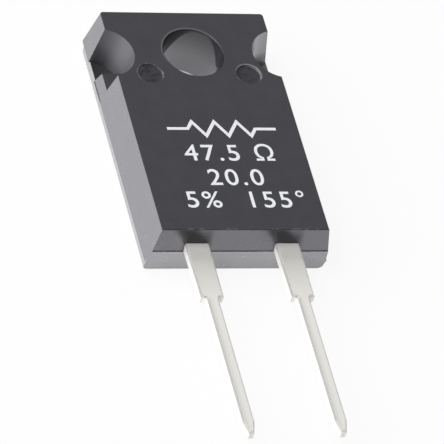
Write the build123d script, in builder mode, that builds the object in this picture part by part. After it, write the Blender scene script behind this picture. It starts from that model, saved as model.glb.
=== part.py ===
from build123d import *
import os

# Power film resistor in a flat two-lead moulded package, lying on its mounting face.
# Millimetres. The origin is the mounting hole's axis on the mounting face, +Z comes out of
# the front face, +Y runs to the hole end and the two leads point to -Y.
os.makedirs("parts", exist_ok=True)

# Moulded case. The sides and ends of the front half lean outwards from the front face
case_thickness = 3.2
front_width = 9.4
side_draft = 0.42
front_hole_end = 2.95
hole_end_draft = 0.2
lead_line_end = -13.0
lead_end_draft = 0.28
front_corner_radius = 0.18
widest_corner_radius = 0.3
front_edge_radius = 0.05

# The mould halves meet low on the sides and step up to the leads at the lead end
side_line_height = 0.86
lead_line_height = 1.8

# The back half is a little narrower, leans inwards to the back and sits slightly out of line
back_half_shift = 0.08
back_half_step = 0.02
back_side_draft = 0.04
back_hole_end_step = 0.1
back_lead_end_draft = 0.37
lead_ledge = 0.05
back_half_corner_radius = 0.34
back_edge_radius = 0.28

# Mounting hole for a 3 mm screw
hole_radius = 1.7
hole_edge_radius = 0.07

# Side notches beside the mounting hole
notch_centre_outside = 0.45
notch_offset_y = -0.045
notch_front_radius = 1.74
notch_ledge_radius = 1.54
notch_floor_radius = 1.41
notch_ledge_edge = -0.35
notch_floor_edge = -0.07

# Ejector pin marks on the front face
pin_mark_radius = 0.7
pin_mark_offset_x = 2.82
pin_mark_offset_y = -1.57
left_pin_mark_depth = 0.05
right_pin_mark_depth = 0.1

# Heat spreader plate, flush with the mounting face, and the moulding left round it. Its
# thickness follows from the height of the leads
plate_side_cover = 1.1
plate_hole_end_cover = 0.35
plate_lead_end_cover = 1.0
plate_hole_sleeve = 0.5
plate_corner_radius = 0.5
plate_lip = 0.25
plate_lip_thickness = 0.35

# Ceramic substrate and the layer that bonds it to the plate
bond_thickness = 0.1
bond_inset = 0.1
substrate_thickness = 0.76
substrate_side_inset = 0.2
substrate_lead_end_inset = 0.2
substrate_hole_distance = 1.5

# Printed layers on the substrate
print_thickness = 0.03
pad_width = 2.2
pad_length = 1.8
pad_inset = 0.1
trace_width = 0.5
trace_pitch = 0.85
trace_legs = 8
trace_end_margin = 0.5
glaze_thickness = 0.08
glaze_side_inset = 0.2
glaze_end_margin = 0.25
glaze_pad_gap = 0.05

# Leads
lead_pitch = 5.08
lead_thickness = 0.5
lead_root_width = 1.36
lead_wide_width = 1.27
lead_thin_width = 0.64
lead_length = 12.7
lead_wide_length = 3.55
lead_neck_radius = 0.18
lead_tip_length = 0.75
lead_tip_width = 0.28
lead_edge_radius = 0.12
lead_foot_width = 1.8
lead_foot_length = 1.3
lead_foot_corner = 0.2
anchor_hole_radius = 0.3
solder_thickness = 0.11
solder_margin = 0.12

# How far a cutting shape reaches past the case
cut_clearance = 1.0

# Outline of the case at the front face, the parting line and the back
front_lead_end = lead_line_end + lead_end_draft
front_length = front_hole_end - front_lead_end
widest_width = front_width + 2 * side_draft
widest_hole_end = front_hole_end + hole_end_draft
front_half_height = case_thickness - side_line_height
line_step = lead_line_height - side_line_height
lead_end_slope = lead_end_draft / (case_thickness - lead_line_height)
widest_lead_end = lead_line_end - lead_end_slope * line_step
lead_line_width = widest_width - 2 * side_draft * line_step / front_half_height
back_half_width = widest_width - 2 * back_half_step
back_face_width = back_half_width - 2 * back_side_draft
back_hole_end = widest_hole_end - back_hole_end_step
back_line_end = lead_line_end - lead_ledge
back_face_lead_end = back_line_end + back_lead_end_draft

# Outlines and heights of the stack inside the case
plate_width = back_face_width - 2 * plate_side_cover
plate_hole_end = front_hole_end - plate_hole_end_cover
plate_lead_end = lead_line_end + plate_lead_end_cover
plate_hole_radius = hole_radius + plate_hole_sleeve
substrate_width = plate_width - 2 * substrate_side_inset
substrate_lead_end = plate_lead_end + substrate_lead_end_inset
substrate_hole_end = -hole_radius - substrate_hole_distance
substrate_length = substrate_hole_end - substrate_lead_end
substrate_middle = (substrate_lead_end + substrate_hole_end) / 2
solder_height = lead_line_height - solder_thickness
print_height = solder_height - print_thickness
substrate_height = print_height - substrate_thickness
bond_height = substrate_height - bond_thickness
plate_thickness = bond_height
pad_lead_end = substrate_lead_end + pad_inset
pad_hole_end = pad_lead_end + pad_length
pad_middle = (pad_lead_end + pad_hole_end) / 2
trace_far_end = substrate_hole_end - trace_end_margin
trace_turn_end = pad_hole_end + trace_end_margin
glaze_width = substrate_width - 2 * glaze_side_inset

# Nickel-plated plate: the lip along its upper edge locks it into the moulding
plate_length = plate_hole_end - plate_lead_end
plate_middle = (plate_hole_end + plate_lead_end) / 2
with BuildPart() as heat_spreader:
    with BuildSketch(Plane.XY) as plate_outline:
        with Locations((0, plate_middle)):
            RectangleRounded(plate_width, plate_length, plate_corner_radius)
        Circle(plate_hole_radius, mode=Mode.SUBTRACT)
    extrude(amount=plate_thickness)
    with BuildSketch(Plane.XY.offset(plate_thickness - plate_lip_thickness)) as lip_outline:
        with Locations((0, plate_middle)):
            RectangleRounded(
                plate_width + 2 * plate_lip,
                plate_length + 2 * plate_lip,
                plate_corner_radius + plate_lip,
            )
        Circle(plate_hole_radius, mode=Mode.SUBTRACT)
    extrude(amount=plate_lip_thickness)
heat_spreader.part.label = "heat_spreader"
export_step(heat_spreader.part, "parts/heat_spreader.step")

# Bond between plate and substrate
with BuildPart() as bond_layer:
    with BuildSketch(Plane.XY.offset(bond_height)) as bond_outline:
        with Locations((0, substrate_middle)):
            Rectangle(substrate_width - 2 * bond_inset, substrate_length - 2 * bond_inset)
    extrude(amount=bond_thickness)
bond_layer.part.label = "bond_layer"
export_step(bond_layer.part, "parts/bond_layer.step")

# Alumina substrate
with BuildPart() as substrate:
    with BuildSketch(Plane.XY.offset(substrate_height)) as substrate_outline:
        with Locations((0, substrate_middle)):
            Rectangle(substrate_width, substrate_length)
    extrude(amount=substrate_thickness)
substrate.part.label = "substrate"
export_step(substrate.part, "parts/substrate.step")

# Resistance film: a meander that starts and ends at the two pads
first_leg = -(trace_legs - 1) * trace_pitch / 2
with BuildPart() as resistive_film:
    with BuildSketch(Plane.XY.offset(print_height)) as film_outline:
        for leg in range(trace_legs):
            leg_x = first_leg + leg * trace_pitch
            is_end_leg = leg in (0, trace_legs - 1)
            leg_start = pad_hole_end if is_end_leg else trace_turn_end
            with Locations((leg_x, (leg_start + trace_far_end) / 2)):
                Rectangle(trace_width, trace_far_end - leg_start)
            if leg < trace_legs - 1:
                turn_at_far_end = leg % 2 == 0
                turn_y = trace_far_end - trace_width / 2
                if not turn_at_far_end:
                    turn_y = trace_turn_end + trace_width / 2
                with Locations((leg_x + trace_pitch / 2, turn_y)):
                    Rectangle(trace_pitch + trace_width, trace_width)
    extrude(amount=print_thickness)
resistive_film.part.label = "resistive_film"
export_step(resistive_film.part, "parts/resistive_film.step")

# Glass coat over the film
glaze_start = pad_hole_end + glaze_pad_gap
glaze_end = trace_far_end + glaze_end_margin
with BuildPart() as overglaze:
    with BuildSketch(Plane.XY.offset(print_height)) as glaze_outline:
        with Locations((0, (glaze_start + glaze_end) / 2)):
            Rectangle(glaze_width, glaze_end - glaze_start)
    extrude(amount=glaze_thickness)
    add(resistive_film.part, mode=Mode.SUBTRACT)
overglaze.part.label = "overglaze"
export_step(overglaze.part, "parts/overglaze.step")

# Pads, solder joints and leads, one of each per side
parts_by_side = []
for side, side_name in ((-1, "left"), (1, "right")):
    lead_x = side * lead_pitch / 2

    with BuildPart() as pad:
        with BuildSketch(Plane.XY.offset(print_height)) as pad_outline:
            with Locations((lead_x, pad_middle)):
                Rectangle(pad_width, pad_length)
        extrude(amount=print_thickness)
    pad.part.label = side_name + "_pad"
    export_step(pad.part, "parts/" + side_name + "_pad.step")

    with BuildPart() as solder:
        with BuildSketch(Plane.XY.offset(solder_height)) as solder_base:
            with Locations((lead_x, pad_middle)):
                Rectangle(lead_foot_width + 2 * solder_margin, lead_foot_length + 2 * solder_margin)
        with BuildSketch(Plane.XY.offset(lead_line_height)) as solder_top:
            with Locations((lead_x, pad_middle)):
                Rectangle(lead_foot_width, lead_foot_length)
        loft()
    solder.part.label = side_name + "_solder"
    export_step(solder.part, "parts/" + side_name + "_solder.step")

    # The lead is blanked from strip, which rounds its upper edges. It narrows a little towards
    # the neck, and ends in a wide foot inside the case
    lead_tip = lead_line_end - lead_length
    lead_neck = lead_line_end - lead_wide_length
    tip_start = lead_tip + lead_tip_length
    with BuildPart() as lead:
        with BuildSketch(Plane.XY.offset(lead_line_height)) as lead_outline:
            half_outline = (
                (lead_root_width / 2, pad_middle),
                (lead_root_width / 2, lead_line_end),
                (lead_wide_width / 2, lead_neck),
                (lead_thin_width / 2, lead_neck),
                (lead_thin_width / 2, tip_start),
                (lead_tip_width / 2, lead_tip),
            )
            with BuildLine():
                Polyline(
                    *[(lead_x + half_width, y) for half_width, y in half_outline],
                    *[(lead_x - half_width, y) for half_width, y in reversed(half_outline)],
                    close=True,
                )
            make_face()
            neck_corners = lead_outline.vertices().group_by(Axis.Y)[2].sort_by(Axis.X)
            fillet([neck_corners[1], neck_corners[2]], lead_neck_radius)
        extrude(amount=lead_thickness)
        fillet(lead.faces().sort_by(Axis.Z)[-1].edges(), lead_edge_radius)
        with BuildSketch(Plane.XY.offset(lead_line_height)) as lead_foot:
            with Locations((lead_x, pad_middle)):
                RectangleRounded(lead_foot_width, lead_foot_length, lead_foot_corner)
        extrude(amount=lead_thickness)
        with BuildSketch(Plane.XY.offset(lead_line_height)) as anchor_hole:
            with Locations((lead_x, pad_middle)):
                Circle(anchor_hole_radius)
        extrude(amount=lead_thickness, mode=Mode.SUBTRACT)
    lead.part.label = side_name + "_lead"
    export_step(lead.part, "parts/" + side_name + "_lead.step")
    parts_by_side.append((pad, solder, lead))

# Moulded case
with BuildPart() as case:
    # Back half, rounded where its sides and hole end meet the mounting face
    back_half_length = back_hole_end - widest_lead_end
    back_half_middle = (back_hole_end + widest_lead_end) / 2
    with BuildSketch(Plane.XY.offset(side_line_height)) as back_half_top:
        with Locations((back_half_shift, back_half_middle)):
            Rectangle(back_half_width, back_half_length)
        fillet(back_half_top.vertices().group_by(Axis.Y)[-1], back_half_corner_radius)
    with BuildSketch(Plane.XY) as back_face:
        with Locations((back_half_shift, back_half_middle)):
            Rectangle(back_face_width, back_half_length)
        fillet(back_face.vertices().group_by(Axis.Y)[-1], back_half_corner_radius)
    loft()
    mounting_edges = case.faces().sort_by(Axis.Z)[0].edges()
    fillet(mounting_edges.sort_by(Axis.Y)[1:], back_edge_radius)

    # Front half, widening from the front face to the parting line on the sides. Its corners
    # are rounded at the hole end and sharp at the lead end
    with BuildSketch(Plane.XY.offset(side_line_height)) as widest_section:
        with Locations((0, (widest_hole_end + widest_lead_end) / 2)):
            Rectangle(widest_width, widest_hole_end - widest_lead_end)
        fillet(widest_section.vertices().group_by(Axis.Y)[-1], widest_corner_radius)
    with BuildSketch(Plane.XY.offset(case_thickness)) as front_face:
        with Locations((0, (front_hole_end + front_lead_end) / 2)):
            Rectangle(front_width, front_length)
        fillet(front_face.vertices().group_by(Axis.Y)[-1], front_corner_radius)
    loft()
    front_edges = case.faces().sort_by(Axis.Z)[-1].edges()
    fillet(front_edges, front_edge_radius)

    # Lead end of the back half, which reaches up to the leads and stands proud by a ledge
    with BuildSketch(Plane.XZ.offset(-widest_lead_end)) as lead_end_section:
        with BuildLine():
            Polyline(
                (-lead_line_width / 2, lead_line_height),
                (-widest_width / 2, side_line_height),
                (widest_width / 2, side_line_height),
                (lead_line_width / 2, lead_line_height),
                close=True,
            )
        make_face()
    extrude(amount=-cut_clearance)
    with BuildSketch(Plane.YZ) as lead_end_trim:
        with BuildLine():
            Polyline(
                (back_line_end, lead_line_height),
                (back_face_lead_end, 0),
                (back_face_lead_end, -cut_clearance),
                (widest_lead_end - cut_clearance, -cut_clearance),
                (widest_lead_end - cut_clearance, lead_line_height),
                close=True,
            )
        make_face()
    extrude(amount=widest_width, both=True, mode=Mode.SUBTRACT)

    # Mounting hole, with its front rim broken
    with BuildSketch(Plane.XY) as hole_outline:
        Circle(hole_radius)
    extrude(amount=case_thickness, mode=Mode.SUBTRACT)
    hole_rim = case.edges().filter_by(GeomType.CIRCLE).group_by(Axis.Z)[-1]
    hole_rim = hole_rim.filter_by(lambda edge: abs(edge.radius - hole_radius) < 0.001)
    fillet(hole_rim, hole_edge_radius)

    # Notches: shallow on the side of the leads, deep on the side of the hole end
    notch_size = 2 * notch_front_radius
    for side in (-1, 1):
        notch_x = side * (front_width / 2 + notch_centre_outside)
        with BuildSketch(Plane.XY.offset(case_thickness)) as notch_mouth:
            with Locations((notch_x, notch_offset_y)):
                Circle(notch_front_radius)
        with BuildSketch(Plane.XY.offset(lead_line_height)) as notch_ledge:
            with Locations((notch_x, notch_offset_y)):
                Circle(notch_ledge_radius)
        loft(mode=Mode.SUBTRACT)
        with BuildSketch(Plane.XY.offset(lead_line_height)) as pocket_mouth:
            with Locations((notch_x, notch_offset_y)):
                Circle(notch_ledge_radius)
            with Locations((notch_x, notch_ledge_edge)):
                Rectangle(
                    notch_size, notch_size, align=(Align.CENTER, Align.MAX), mode=Mode.SUBTRACT
                )
        with BuildSketch(Plane.XY.offset(side_line_height)) as pocket_floor:
            with Locations((notch_x, notch_offset_y)):
                Circle(notch_floor_radius)
            with Locations((notch_x, notch_floor_edge)):
                Rectangle(
                    notch_size, notch_size, align=(Align.CENTER, Align.MAX), mode=Mode.SUBTRACT
                )
        loft(mode=Mode.SUBTRACT)

    # Ejector pin marks
    for side, mark_depth in ((-1, left_pin_mark_depth), (1, right_pin_mark_depth)):
        with BuildSketch(Plane.XY.offset(case_thickness)) as pin_mark:
            with Locations((side * pin_mark_offset_x, pin_mark_offset_y)):
                Circle(pin_mark_radius)
        extrude(amount=-mark_depth, mode=Mode.SUBTRACT)

    # The moulding closes round everything set into it
    add(heat_spreader.part, mode=Mode.SUBTRACT)
    add(bond_layer.part, mode=Mode.SUBTRACT)
    add(substrate.part, mode=Mode.SUBTRACT)
    add(resistive_film.part, mode=Mode.SUBTRACT)
    add(overglaze.part, mode=Mode.SUBTRACT)
    for pad, solder, lead in parts_by_side:
        add(pad.part, mode=Mode.SUBTRACT)
        add(solder.part, mode=Mode.SUBTRACT)
        add(lead.part, mode=Mode.SUBTRACT)
case.part.label = "case"
export_step(case.part, "parts/case.step")
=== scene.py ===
import math

import bmesh
import bpy
from mathutils import Euler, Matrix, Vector


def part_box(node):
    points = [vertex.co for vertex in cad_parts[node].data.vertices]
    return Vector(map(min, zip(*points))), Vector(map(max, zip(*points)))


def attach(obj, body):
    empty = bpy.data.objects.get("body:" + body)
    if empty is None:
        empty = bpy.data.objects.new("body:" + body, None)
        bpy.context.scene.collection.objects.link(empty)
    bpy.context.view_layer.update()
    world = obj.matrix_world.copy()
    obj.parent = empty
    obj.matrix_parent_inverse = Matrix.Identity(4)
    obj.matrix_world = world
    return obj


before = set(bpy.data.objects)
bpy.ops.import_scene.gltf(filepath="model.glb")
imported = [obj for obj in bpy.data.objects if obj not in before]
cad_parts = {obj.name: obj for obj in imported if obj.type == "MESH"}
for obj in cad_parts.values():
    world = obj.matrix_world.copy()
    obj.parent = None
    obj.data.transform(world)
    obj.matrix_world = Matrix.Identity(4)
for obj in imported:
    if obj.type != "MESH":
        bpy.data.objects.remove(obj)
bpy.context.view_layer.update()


# Case: black epoxy moulded round the plate and the leads in a two-part mould. The front face is
# the smoothest. The sides are painted a paler grey than the front and ends, and the lower half
# paler still, as painted sheen. The compound is fine-grained all over, with small specks of its
# mineral filler.
class Wire:
    """A socket whose arithmetic adds Math nodes, so that shader maths reads as expressions."""

    def __init__(self, tree, socket=None):
        self.tree = tree
        self.socket = socket

    def node(self, kind, settings=None, sockets=None, output=0):
        """Adds any other node: its settings first, then the values or links of its sockets."""
        made = self.tree.nodes.new("ShaderNode" + kind)
        for name, value in (settings or {}).items():
            setattr(made, name, value)
        for name, value in (sockets or {}).items():
            if isinstance(value, Wire):
                self.tree.links.new(value.socket, made.inputs[name])
            else:
                made.inputs[name].default_value = value
        return Wire(self.tree, made.outputs[output] if made.outputs else None)

    def math(self, operation, *others):
        """A Math node on this wire and the others."""
        return self.node("Math", {"operation": operation}, dict(enumerate((self, *others))))

    def __add__(self, other):
        return self.math("ADD", other)

    def __radd__(self, other):
        return self.math("ADD", other)

    def __sub__(self, other):
        return self.math("SUBTRACT", other)

    def __rsub__(self, other):
        return self.node("Math", {"operation": "SUBTRACT"}, {0: other, 1: self})

    def __mul__(self, other):
        return self.math("MULTIPLY", other)

    def __rmul__(self, other):
        return self.math("MULTIPLY", other)

    def sign(self):
        return self.math("SIGN")

    def unsigned(self):
        return self.math("ABSOLUTE")

    def root(self):
        return self.math("SQRT")

    def smaller(self, other):
        return self.math("MINIMUM", other)

    def larger(self, other):
        return self.math("MAXIMUM", other)

    def between(self, low, high):
        """0 below low, 1 above high and a smooth rise from one to the other."""
        return self.node(
            "MapRange",
            {"interpolation_type": "SMOOTHSTEP"},
            {"Value": self, "From Min": low, "From Max": high},
        )

    def blend(self, first, second):
        """The colour first where this is 0, and second where it is 1."""
        return self.node("Mix", {"data_type": "RGBA"}, {0: self, 6: first, 7: second}, output=2)


def start_material(name):
    """An empty material, and the wire that its nodes are added from."""
    material = bpy.data.materials.new(name)
    material.use_nodes = True
    material.node_tree.nodes.clear()
    return material, Wire(material.node_tree)


def end_material(start, shader):
    start.node("OutputMaterial", None, {"Surface": shader})


def dress(node, material):
    """Gives a node of the solid model its finish."""
    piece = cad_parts[node]
    piece.data.materials.clear()
    piece.data.materials.append(material)


def axes(vector):
    """A vector's x, y and z."""
    return [vector.node("SeparateXYZ", None, {"Vector": vector}, output=axis) for axis in range(3)]


def from_axis(x, y):
    """The distance from an upright axis."""
    return (x * x + y * y).root()


def noise(place, scale, detail):
    return place.node("TexNoise", None, {"Vector": place, "Scale": scale, "Detail": detail})


def bumps(relief, strength, depth):
    """Surface relief, depth metres deep, for a shader's Normal."""
    return relief.node("Bump", None, {"Strength": strength, "Distance": depth, "Height": relief})


# The masks below work in millimetres, on the place and the facing of the case's own surface, and
# are set out from these sizes of the mould.
millimetres = 1000.0
side_line_height = 0.86
lead_line_height = 1.8
front_lead_end = -12.72
hole_radius = 1.7
pin_mark_offset_x = 2.82
pin_mark_offset_y = -1.57
pin_mark_radius = 0.7
notch_offset_x = 5.15
notch_offset_y = -0.045
notch_radius = 1.74
lead_offset_x = 2.54

black_epoxy, start = start_material("black_epoxy")
place = start.node("TexCoord", output=3)
x, y, z = (axis * millimetres for axis in axes(place))
side_sign = x.sign()
right_side = side_sign.between(-0.5, 0.5)
across, along, up = axes(start.node("NewGeometry", output=1))
toward_leads = along * -1.0
top_facing = up.between(0.25, 0.95)
low_facing = 1 - up.between(-0.15, 0.12)
side_facing = across.unsigned().between(0.6, 0.95)

# Compound: clouds and grain of the moulded skin, and specks of filler. The dark colour below
# paints shade in the pin marks and the bore. The pale one shows rubbed spots along the front edge,
# and paints highlights on the rims of the hole and the pin marks.
painted_shade_colour = (0.006, 0.006, 0.008, 1)
pale_chip_and_highlight_colour = (0.3, 0.3, 0.31, 1)
clouds = noise(place, scale=900.0, detail=4.0)
grain = noise(place, scale=14000.0, detail=3.0)
filler = start.node("TexVoronoi", None, {"Vector": place, "Scale": 5200.0})
specks = 1 - filler.between(0.05, 0.16)
spots = noise(place, scale=4200.0, detail=3.0).between(0.42, 0.62)
broken = noise(place, scale=1500.0, detail=2.0).between(0.4, 0.6)
mottle = (clouds * 0.6 + grain * 0.4).between(0.3, 0.7)
front_colour = mottle.blend((0.0235, 0.0225, 0.031, 1), (0.0335, 0.032, 0.0415, 1))
end_colour = clouds.blend((0.014, 0.013, 0.016, 1), (0.02, 0.019, 0.023, 1))
# Painted sheen: the sides, and the lower half's faces still more, are painted paler than the front
# and ends.
side_sheen_colour = clouds.blend((0.122, 0.12, 0.13, 1), (0.147, 0.145, 0.155, 1))
low_end_sheen_colour = clouds.blend((0.285, 0.281, 0.297, 1), (0.32, 0.315, 0.332, 1))
low_side_sheen_colour = clouds.blend((0.4, 0.4, 0.41, 1), (0.45, 0.45, 0.46, 1))

# Mounting hole: polished by its core pin, with a painted highlight along the part of the front rim
# away from the leads, and painted shade on a band of the bore's left wall.
from_hole = from_axis(x, y)
polished = 1 - from_hole.between(hole_radius + 0.002, hole_radius + 0.015)
polished_black = (0.008, 0.008, 0.009, 1)
# Painted highlight: a light line on the part of the front rim away from the leads.
hole_ring_highlight = from_hole.between(hole_radius + 0.01, hole_radius + 0.05)
hole_ring_highlight = hole_ring_highlight * (1 - from_hole.between(hole_radius + 0.09, hole_radius + 0.16))
hole_ring_highlight = hole_ring_highlight * (y - x * 0.4).between(-0.6, 1.2)
hole_rim = from_hole.between(hole_radius, hole_radius + 0.01)
hole_rim = hole_rim * (1 - from_hole.between(hole_radius + 0.08, hole_radius + 0.12))
hole_rim = hole_rim * up.between(0.0, 0.1)
# Painted shade: a band part way down the bore's left wall is darkened.
bore_left_shade = polished * across.between(0.1, 0.5) * z.between(1.9, 2.5)
bore_mouth = polished * z.between(1.0, 3.3) * 0.65 + bore_left_shade * 0.3

# Ejector pin marks: rough floors with painted shade in dark blotches, heavier in the left mark. A
# painted highlight runs as a light line, broken into spots, along the inside rim on the side away
# from the leads, with a brighter crescent on the right mark.
mark_floor_colour = (0.036, 0.033, 0.042, 1)
mark_x = x - side_sign * pin_mark_offset_x
mark_y = y - pin_mark_offset_y
from_mark = from_axis(mark_x, mark_y)
in_mark = 1 - from_mark.between(pin_mark_radius - 0.1, pin_mark_radius)
# Painted shade: dark blotches in the mark floors.
blotches = noise(place, scale=3600.0, detail=3.0).between(0.44, 0.62)
blotches = blotches * in_mark * (0.6 - side_sign * 0.15)
mark_ring = from_mark.between(pin_mark_radius - 0.06, pin_mark_radius)
mark_ring = mark_ring * (1 - from_mark.between(pin_mark_radius + 0.02, pin_mark_radius + 0.1))
# Painted highlight: the light line and the crescent on the rims.
upper_rim = mark_y.between(-0.65, -0.2)
highlight_crescent = (mark_x + mark_y).between(0.3, 0.95)
rim_highlight = broken * (0.15 + spots * 0.6) * upper_rim + highlight_crescent * (0.35 + side_sign * 0.35)
rim_highlight = rim_highlight * mark_ring

# Notches: dull walls, the right one's glossy. Painted shade darkens the deep part of the left
# notch, its ledges and its wall that faces the leads, where little light gets down. Walls that
# face the leads take the dark end colour, as painted shade that is stronger low down. The deep
# part of the right notch and its ledges are painted lighter, as painted light.
notch_x = x.unsigned() - notch_offset_x
notch_y = y - notch_offset_y
from_notch = from_axis(notch_x, notch_y)
flat_side = side_facing * x.unsigned().between(4.3, 4.6)
in_notch = (1 - from_notch.between(notch_radius + 0.015, notch_radius + 0.045)) * (1 - flat_side)
notch_wall = in_notch * (1 - side_facing)
deep = 1 - z.between(1.1, 1.7)
upper = z.between(1.2, 2.4)
shaded_wall = notch_wall * toward_leads.between(0.35, 0.95) * (1 - side_sign)
shaded_wall = shaded_wall * (0.37 - upper * 0.19)
# Painted shade on the left and painted light on the right, low in the notches and on the ledges.
deep_shade_and_light_colour = right_side.blend((0.03, 0.0285, 0.0305, 1), (0.2, 0.19, 0.185, 1))
end_share = toward_leads.between(0.1, 0.9) * (1 - upper * 0.6)
notch_colour = clouds.blend((0.055, 0.053, 0.06, 1), (0.075, 0.073, 0.08, 1))
notch_colour = end_share.blend(notch_colour, end_colour)
notch_colour = deep.blend(notch_colour, deep_shade_and_light_colour)

# Lead end: shaded above each lead, and rubbed in spots along the front edge.
lead_shade_colour = (0.016, 0.015, 0.018, 1)
from_lead = (x.unsigned() - lead_offset_x).unsigned()
above_lead = (1 - from_lead.between(0.45, 0.95)) * toward_leads.between(0.6, 0.9)
above_lead = above_lead * z.between(lead_line_height - 0.05, lead_line_height)
above_lead = above_lead * (1 - z.between(2.5, 3.6)) * 0.85
rubbed_edge = 1 - y.between(front_lead_end + 0.02, front_lead_end + 0.14)
rubbed_edge = rubbed_edge * top_facing * spots * broken * 0.4

# Parting line: it stands open for a short way below each notch.
open_line_colour = (0.005, 0.005, 0.005, 1)
open_line = z.between(side_line_height - 0.05, side_line_height - 0.02)
open_line = open_line * (1 - z.between(side_line_height + 0.08, side_line_height + 0.14))
open_line = open_line * side_facing * y.between(-1.8, -1.2) * (1 - y.between(-0.1, 0.0))

# The front face has less sheen than the sides and ends. Its finish also covers what lies in
# shade on them.
# Pale specks of filler and rubbed spots, with the painted highlights of the rims.
wear_and_highlights = specks * 0.1 + hole_ring_highlight * 0.25 + rim_highlight + rubbed_edge
wear_and_highlights = wear_and_highlights.smaller(1.0)
front_colour = (in_mark * 0.6).blend(front_colour, mark_floor_colour)
front_colour = blotches.blend(front_colour, painted_shade_colour)
front_colour = deep.blend(front_colour, deep_shade_and_light_colour)
front_colour = above_lead.blend(front_colour, lead_shade_colour)
front_colour = bore_left_shade.blend(front_colour, painted_shade_colour)
front_colour = wear_and_highlights.blend(front_colour, pale_chip_and_highlight_colour)
# Painted sheen: the sides are painted paler than the ends, and the lower half paler still.
colour = side_facing.blend(end_colour, side_sheen_colour)
colour = in_notch.blend(colour, notch_colour)
colour = low_facing.blend(colour, side_facing.blend(low_end_sheen_colour, low_side_sheen_colour))
colour = polished.blend(colour, polished_black)
colour = open_line.blend(colour, open_line_colour)
polished_roughness = 0.07
roughness = 0.2 + clouds * 0.08 + grain * 0.04 + in_notch * 0.22
roughness = roughness + polished * (polished_roughness - roughness)
skin = bumps(grain + clouds * 0.5, strength=0.2, depth=0.000004)
sides = start.node(
    "BsdfPrincipled",
    None,
    {
        "Base Color": colour,
        "Roughness": roughness,
        "Normal": skin,
        "IOR": 2.55,
        "Specular Tint": (0.95, 0.94, 1.0, 1),
        "Coat Weight": notch_wall * (1 + side_sign) * 0.5 * z.between(1.3, 1.85),
        "Coat Roughness": 0.15,
        "Coat IOR": 2.0,
    },
)
front = start.node(
    "BsdfPrincipled",
    None,
    {
        "Base Color": front_colour,
        "Roughness": 0.34 + clouds * 0.08 + grain * 0.05 + in_mark * 0.3,
        "Normal": skin,
        "IOR": 1.5,
    },
)
front_share = top_facing.larger(shaded_wall).larger(above_lead).larger(open_line)
front_share = front_share.larger(hole_rim).larger(bore_mouth)
end_material(start, start.node("MixShader", None, {0: front_share, 1: sides, 2: front}))
dress("case", black_epoxy)

# Marking: white ink stamped on the front face. A plain zigzag stands for a resistor and the
# three rows below it hold plain rating numbers.
face_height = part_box("case")[1].z
ink_thickness = 0.000006
ink_sink = 0.000004
ink_middle = face_height - ink_sink + ink_thickness / 2

white_ink, start = start_material("white_ink")
patches = noise(start.node("TexCoord", output=3), scale=6000.0, detail=3.0)
ink = start.node(
    "BsdfPrincipled",
    None,
    {
        "Base Color": patches.blend((0.77, 0.785, 0.815, 1), (0.9, 0.915, 0.945, 1)),
        "Roughness": 0.5 + patches * 0.15,
        "Normal": bumps(patches, strength=0.3, depth=0.000003),
    },
)
end_material(start, ink)


def stamp(name, curve, x, y):
    """Makes a flat curve or text a mesh on the front face, and fixes it to the part."""
    curve.extrude = ink_thickness / 2
    flat = bpy.data.objects.new(name, curve)
    bpy.context.scene.collection.objects.link(flat)
    flat.location = (x, y, ink_middle)
    bpy.context.view_layer.update()
    graph = bpy.context.evaluated_depsgraph_get()
    mesh = bpy.data.meshes.new_from_object(flat.evaluated_get(graph))
    mesh.transform(flat.matrix_world)
    bpy.data.objects.remove(flat)
    mesh.name = name
    mesh.materials.clear()
    mesh.materials.append(white_ink)
    piece = bpy.data.objects.new(name, mesh)
    bpy.context.scene.collection.objects.link(piece)
    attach(piece, "root")


digit_height = 0.00117
capital_share = 0.729
digit_spacing = 1.18
digit_fattening = 0.000012
rows = (
    ("rating_row_1", "47.5 Ω", 0.00035, -0.00783),
    ("rating_row_2", "20.0", 0.0003, -0.00957),
    ("rating_row_3", "5%  155°", 0.0005, -0.01115),
)
for name, text, middle, baseline in rows:
    curve = bpy.data.curves.new(name, "FONT")
    curve.body = text
    curve.size = digit_height / capital_share
    curve.align_x = "CENTER"
    curve.space_character = digit_spacing
    curve.offset = digit_fattening
    stamp(name, curve, middle, baseline)

zigzag_left = -0.0028
zigzag_right = 0.0034
zigzag_y = -0.00556
zigzag_height = 0.0005
zigzag_stroke = 0.00019
zigzag_teeth = 6
teeth_share = 0.62
run = (zigzag_right - zigzag_left) * (1 - teeth_share) / 2
tooth = (zigzag_right - zigzag_left) * teeth_share / zigzag_teeth
corners = [Vector((zigzag_left, zigzag_y)), Vector((zigzag_left + run, zigzag_y))]
for number in range(zigzag_teeth):
    tip_x = zigzag_left + run + (number + 0.5) * tooth
    tip_y = zigzag_y + (1 if number % 2 == 0 else -1) * zigzag_height
    corners.append(Vector((tip_x, tip_y)))
corners += [Vector((zigzag_right - run, zigzag_y)), Vector((zigzag_right, zigzag_y))]
normals = []
for corner, next_corner in zip(corners, corners[1:]):
    direction = (next_corner - corner).normalized()
    normals.append(Vector((-direction.y, direction.x)))
steps = []
for before, after in zip(normals[:1] + normals, normals + normals[-1:]):
    mitre = (before + after).normalized()
    steps.append(mitre * (zigzag_stroke / 2 / mitre.dot(before)))
outline = [corner + step for corner, step in zip(corners, steps)]
outline += [corner - step for corner, step in zip(reversed(corners), reversed(steps))]
curve = bpy.data.curves.new("resistor_zigzag", "CURVE")
curve.dimensions = "2D"
curve.fill_mode = "BOTH"
path = curve.splines.new("POLY")
path.points.add(len(outline) - 1)
path.use_cyclic_u = True
for point, corner in zip(path.points, outline):
    point.co = (corner.x, corner.y, 0.0, 1.0)
stamp("resistor_zigzag", curve, 0.0, 0.0)


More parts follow.
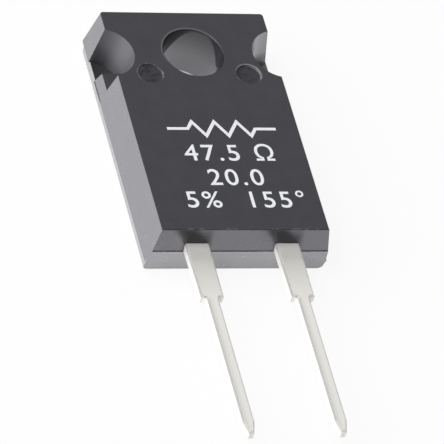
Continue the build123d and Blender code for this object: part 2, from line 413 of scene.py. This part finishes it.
# Leads: blanked from half-millimetre copper strip and plated with matt tin, which shows faint
# drawing lines along the strip and small crystal patches. Blanking rolls the upper edges over.
def drawing_lines(place, stretch, scale, detail):
    """Fine straight lines along the part, from noise that is stretched that way."""
    stretched = place.node("Mapping", None, {"Vector": place, "Scale": Vector(stretch)})
    return noise(stretched, scale, detail)


lead_root_end = -13.0
lead_neck_end = -16.55
tin_near_root = (0.685, 0.675, 0.64, 1)
shaded_tin_colour = (0.78, 0.77, 0.73, 1)
tin_left_edge = (0.45, 0.44, 0.42, 1)

tinned_copper, start = start_material("tinned_copper")
place = start.node("TexCoord", output=3)
x, y = (axis * millimetres for axis in axes(place)[:2])
across, _, up = axes(start.node("NewGeometry", output=1))
from_middle = x - x.sign() * lead_offset_x
lines = drawing_lines(place, stretch=(30.0, 0.8, 30.0), scale=400.0, detail=5.0)
crystals = noise(place, scale=2500.0, detail=4.0)
flat_top = up.between(0.93, 0.99)
rolled = up.between(0.05, 0.2) * (1 - flat_top)
left_edge = rolled * (1 - across.between(-0.3, -0.1))
# Painted shade on the tin: darker for a few millimetres out from the case, on the left of each
# thin end, and on the rolled edges that face left.
near_root = flat_top * y.between(lead_root_end - 4.5, lead_root_end)
at_root = flat_top * y.between(lead_root_end - 1.0, lead_root_end - 0.1)
thin_left = flat_top * (1 - y.between(lead_neck_end - 0.35, lead_neck_end + 0.15))
thin_left = thin_left * (1 - from_middle.between(-0.35, 0.05))
tin_colour = crystals.blend((0.94, 0.925, 0.88, 1), (0.98, 0.965, 0.92, 1))
tin_colour = near_root.blend(tin_colour, tin_near_root)
tin_colour = at_root.blend(tin_colour, shaded_tin_colour)
tin_colour = thin_left.blend(tin_colour, shaded_tin_colour)
tin_colour = left_edge.blend(tin_colour, tin_left_edge)
tin = start.node(
    "BsdfPrincipled",
    None,
    {
        "Base Color": tin_colour,
        "Metallic": 0.3 + flat_top * 0.7 - at_root * 0.75,
        "Roughness": 0.32 + crystals * 0.08 + lines * 0.06,
        "Normal": bumps(lines + crystals * 0.4, strength=0.3, depth=0.000003),
    },
)
end_material(start, tin)
for node in ("left_lead", "right_lead"):
    dress(node, tinned_copper)

# Heat spreader: a copper plate with a dull nickel finish, flush with the mounting face. Rolling
# and lapping leave fine straight lines along it.
nickel_plate, start = start_material("nickel_plate")
place = start.node("TexCoord", output=3)
lines = drawing_lines(place, stretch=(20.0, 0.7, 20.0), scale=700.0, detail=6.0)
blotches = noise(place, scale=350.0, detail=3.0)
nickel = start.node(
    "BsdfPrincipled",
    None,
    {
        "Base Color": blotches.blend((0.56, 0.54, 0.5, 1), (0.67, 0.655, 0.62, 1)),
        "Metallic": 1.0,
        "Roughness": 0.3 + lines * 0.12 + blotches * 0.08,
        "Normal": bumps(lines, strength=0.35, depth=0.000003),
    },
)
end_material(start, nickel)
dress("heat_spreader", nickel_plate)

# Inner stack, sealed in the case: a solder bond, the alumina substrate, the printed film with
# its two silver pads, a green glass coat and the solder that joins the leads' feet to the pads.
inner_finishes = (
    ("solder_bond", (0.5, 0.5, 0.48), 0.9, 0.45, ("bond_layer",)),
    ("white_alumina", (0.84, 0.83, 0.79), 0.0, 0.5, ("substrate",)),
    ("resistance_film", (0.05, 0.05, 0.06), 0.0, 0.55, ("resistive_film",)),
    ("silver_pad", (0.72, 0.7, 0.65), 0.9, 0.4, ("left_pad", "right_pad")),
    ("green_glass", (0.08, 0.24, 0.15), 0.0, 0.2, ("overglaze",)),
    ("solder_joint", (0.6, 0.6, 0.58), 1.0, 0.35, ("left_solder", "right_solder")),
)
for name, shade, metallic, rough, nodes in inner_finishes:
    finish, start = start_material(name)
    mottle = noise(start.node("TexCoord", output=3), scale=3000.0, detail=4.0)
    darker = tuple(channel * 0.85 for channel in shade) + (1,)
    lighter = tuple(min(1.0, channel * 1.1) for channel in shade) + (1,)
    shader = start.node(
        "BsdfPrincipled",
        None,
        {
            "Base Color": mottle.blend(darker, lighter),
            "Metallic": metallic,
            "Roughness": rough + mottle * 0.1,
            "Normal": bumps(mottle, strength=0.3, depth=0.000004),
        },
    )
    end_material(start, shader)
    for node in nodes:
        dress(node, finish)

# Studio floor: a plain white sheet that keeps the part's soft shadow. The camera sees it white,
# and dimmer down in the mounting hole, where less light gets to it.
floor_size = 1.2
floor_gap = 0.00002
seen_white = 0.9
hole_dimming = 0.6
reflected_white = 0.78
mesh = bmesh.new()
bmesh.ops.create_grid(mesh, x_segments=1, y_segments=1, size=floor_size / 2)
bmesh.ops.translate(mesh, vec=(0, 0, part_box("case")[0].z - floor_gap), verts=mesh.verts)
floor_mesh = bpy.data.meshes.new("floor")
mesh.to_mesh(floor_mesh)
mesh.free()
floor = bpy.data.objects.new("floor", floor_mesh)
bpy.context.scene.collection.objects.link(floor)
white_sheet, start = start_material("white_sheet")
x, y = (axis * millimetres for axis in axes(start.node("TexCoord", output=3))[:2])
in_hole = 1 - from_axis(x, y).between(hole_radius, hole_radius + 0.3)
seen = start.node("LightPath", output=0)
glossy = start.node("LightPath", output=3)
through = start.node("LightPath", output=6)
glow_share = seen * (seen_white - in_hole * hole_dimming) + glossy * reflected_white + through
paper = start.node("BsdfDiffuse", None, {"Color": (0.9, 0.9, 0.9, 1)})
glow = start.node("Emission", None, {"Color": (1, 1, 1, 1), "Strength": 1.0})
end_material(start, start.node("MixShader", None, {0: glow_share, 1: paper, 2: glow}))
floor_mesh.materials.append(white_sheet)

# Studio light: an even pale surround and two large soft lamps.
world = bpy.data.worlds.new("studio")
world.use_nodes = True
surround = world.node_tree.nodes["Background"].inputs
surround["Color"].default_value = (1, 1, 1, 1)
surround["Strength"].default_value = 0.14
bpy.context.scene.world = world
lamps = (
    ("side_lamp", (-0.5, 0.0, 0.45), 0.9, 7.0),
    ("back_lamp", (0.24, 0.43, 0.5), 0.7, 0.92),
)
for name, spot, size, power in lamps:
    lamp = bpy.data.lights.new(name, "AREA")
    lamp.shape = "DISK"
    lamp.size = size
    lamp.energy = power
    lamp_object = bpy.data.objects.new(name, lamp)
    bpy.context.scene.collection.objects.link(lamp_object)
    lamp_object.location = spot
    lamp_object.rotation_euler = Vector(spot).to_track_quat("Z", "Y").to_euler()

# Camera: a long lens that looks down on the front face from the lead end's left.
camera_data = bpy.data.cameras.new("camera")
camera_data.sensor_width = 36.0
camera_data.lens = 439.4
camera_data.clip_start = 0.01
camera_data.clip_end = 5.0
camera = bpy.data.objects.new("camera", camera_data)
bpy.context.scene.collection.objects.link(camera)
camera.location = (-0.098417, -0.188536, 0.20626)
camera.rotation_euler = Euler(
    (math.radians(42.723), math.radians(-14.857), math.radians(-13.339)), "XYZ"
)
bpy.context.scene.camera = camera
bpy.context.scene.view_settings.view_transform = "Standard"
